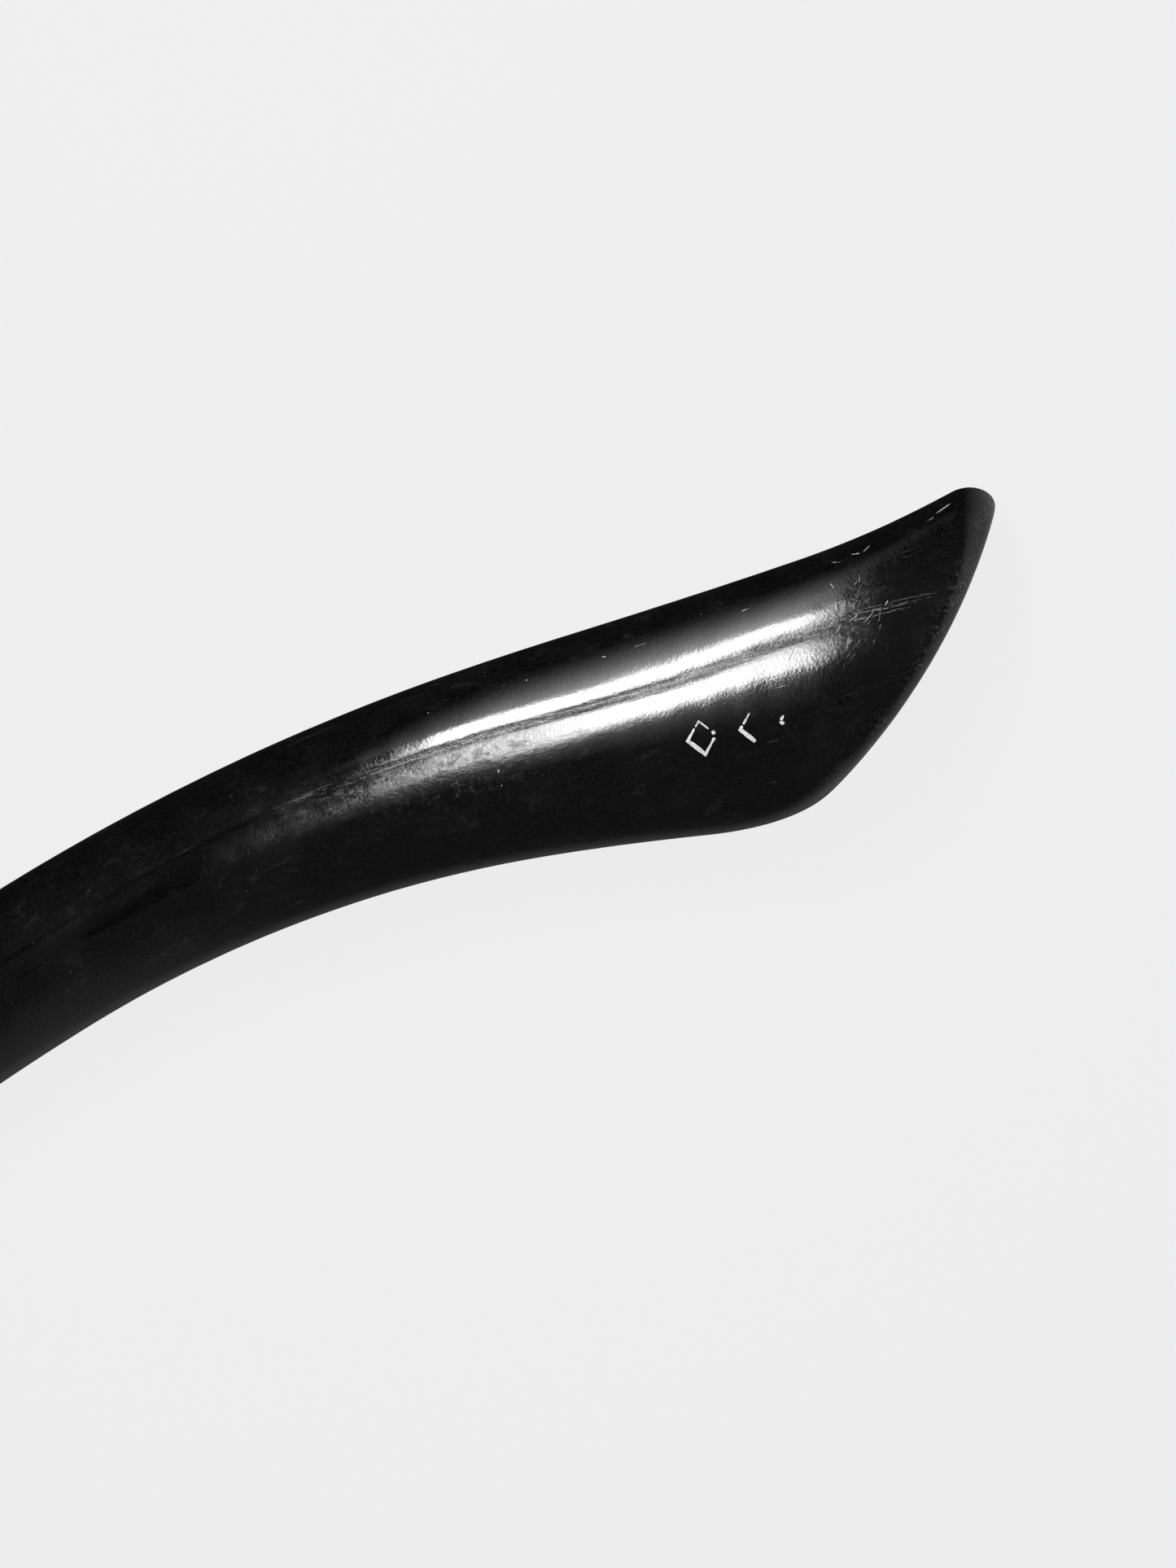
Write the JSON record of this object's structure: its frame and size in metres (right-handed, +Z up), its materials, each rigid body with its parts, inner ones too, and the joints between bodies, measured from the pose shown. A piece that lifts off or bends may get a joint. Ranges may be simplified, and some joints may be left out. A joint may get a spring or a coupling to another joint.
{
  "type": "shofar",
  "caption": "Curved polished black horn with a flared, obliquely sawn bell, a bored neck and a push-fit cup mouthpiece.",
  "frame": {"origin": "on the resting flat, under the horn's centreline where the bell's straight stretch begins", "axes": "+X along the bell's straight stretch towards the mouth, +Z up out of the flat that the horn lies on"},
  "size_m": [0.4077, 0.1931, 0.0329],
  "materials": {
    "black_horn": "polished horn, worn",
    "white_inlay": "worn white filler",
    "turned_horn": "turned and polished horn",
    "cork": "natural cork"
  },
  "bodies": {
    "horn": {"horn_body": "black_horn", "mark_inlay_1": "white_inlay", "mark_inlay_2": "white_inlay", "mark_inlay_3": "white_inlay"},
    "mouthpiece": {"mouthpiece": "turned_horn", "shank_cork": "cork"}
  },
  "joints": [
    {"name": "mouthpiece_pull", "type": "slide", "parent": "horn", "child": "mouthpiece", "axis": [-0.7364, -0.6765, 0], "range_m": [0, 0.03]}
  ]
}
